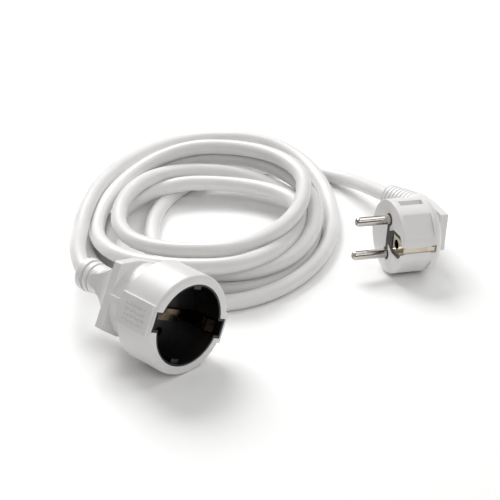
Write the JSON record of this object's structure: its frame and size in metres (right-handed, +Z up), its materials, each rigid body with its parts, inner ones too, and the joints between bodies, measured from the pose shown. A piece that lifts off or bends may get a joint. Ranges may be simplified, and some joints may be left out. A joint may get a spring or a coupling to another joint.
{
  "type": "extension cord",
  "caption": "White earthed mains extension cord with a round trailing socket, loosely coiled round cable and an angled two-pin plug.",
  "frame": {"origin": "on the ground under the middle of the socket, which lies on its side", "axes": "+Y along the socket's axis from its mouth towards the cord, +Z up, +X towards the coil"},
  "size_m": [0.2321, 0.2163, 0.05],
  "materials": {
    "white_pvc": "satin moulded PVC",
    "white_cord": "satin extruded PVC sheath",
    "black_plastic": "semi-gloss moulded thermoplastic",
    "nickel": "polished nickel plate",
    "plated_brass": "nickel-plated brass strip, worn",
    "brass": "plain brass",
    "core_brown": "PVC insulation",
    "core_blue": "PVC insulation",
    "core_green_yellow": "PVC insulation, green with a yellow stripe"
  },
  "bodies": {
    "cord_set": {"socket_housing": "white_pvc", "socket_insert": "black_plastic", "socket_chamber_line": "black_plastic", "socket_chamber_neutral": "black_plastic", "socket_insert_cover": "black_plastic", "socket_contact_line": "brass", "socket_contact_neutral": "brass", "socket_earth_strip": "plated_brass", "socket_core_brown": "core_brown", "socket_core_blue": "core_blue", "socket_core_green_yellow": "core_green_yellow", "cord_lead": "white_cord", "cord_coil": "white_cord", "cord_tail": "white_cord", "plug_housing": "white_pvc", "plug_carrier": "black_plastic", "plug_pin_line": "nickel", "plug_pin_neutral": "nickel", "plug_earth_contact": "plated_brass", "plug_strain_relief": "white_pvc", "plug_core_brown": "core_brown", "plug_core_blue": "core_blue", "plug_core_green_yellow": "core_green_yellow"},
    "earth_arm_left": {"socket_earth_arm_left": "plated_brass"},
    "earth_arm_right": {"socket_earth_arm_right": "plated_brass"}
  },
  "joints": [
    {"name": "earth_arm_right_flex", "type": "hinge", "parent": "cord_set", "child": "earth_arm_right", "pos_m": [0.01785, -0.0204, 0.01667], "axis": [0.4226, 0, 0.9063], "range_deg": [0, 5], "stiffness_Nm_per_rad": 1.2},
    {"name": "earth_arm_left_flex", "type": "hinge", "parent": "cord_set", "child": "earth_arm_left", "pos_m": [-0.01785, -0.0204, 0.03333], "axis": [-0.4226, 0, -0.9063], "range_deg": [0, 5], "stiffness_Nm_per_rad": 1.2}
  ]
}
